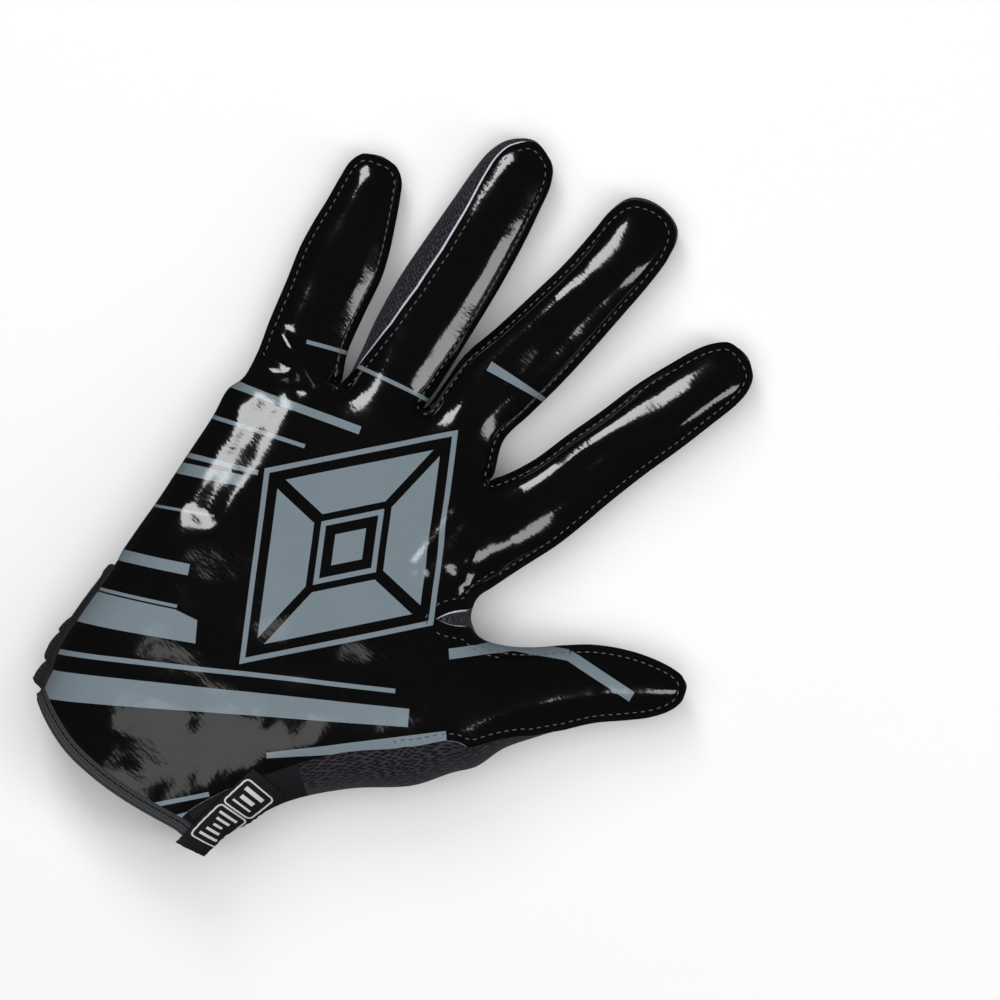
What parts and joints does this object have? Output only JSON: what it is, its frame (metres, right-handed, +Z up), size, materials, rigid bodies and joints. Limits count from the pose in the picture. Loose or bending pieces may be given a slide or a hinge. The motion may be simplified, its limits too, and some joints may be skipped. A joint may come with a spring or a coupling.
{
  "type": "football receiver glove",
  "caption": "Right-hand receiver glove lying palm up: glossy grip palm with a grey print, mesh back and finger sides, bound cuff, wrist strap and blank label.",
  "frame": {"origin": "middle of the glove's outline, on the plane that its back rests on", "axes": "+Y from the cuff to the fingertips, +X to the thumb side, +Z up out of the palm"},
  "size_m": [0.177, 0.2324, 0.0339],
  "materials": {
    "grip": "glossy silicone grip film, black with grey stripes and shards",
    "mesh": "matt knitted mesh",
    "knit": "smooth stretch knit",
    "binding": "woven edge binding",
    "strap": "moulded strap, satin",
    "label": "woven label, bare of words"
  },
  "bodies": {
    "root": {"palm_panel": "grip", "back_panel": "mesh", "wrist_band": "knit", "outer_side_band": "mesh", "little_ring_fourchette": "mesh", "ring_middle_fourchette": "mesh", "middle_index_fourchette": "mesh", "web_gusset": "mesh", "thumb_side_band": "mesh", "cuff_binding": "binding", "wrist_strap": "strap", "label_tag": "label"}
  },
  "joints": []
}
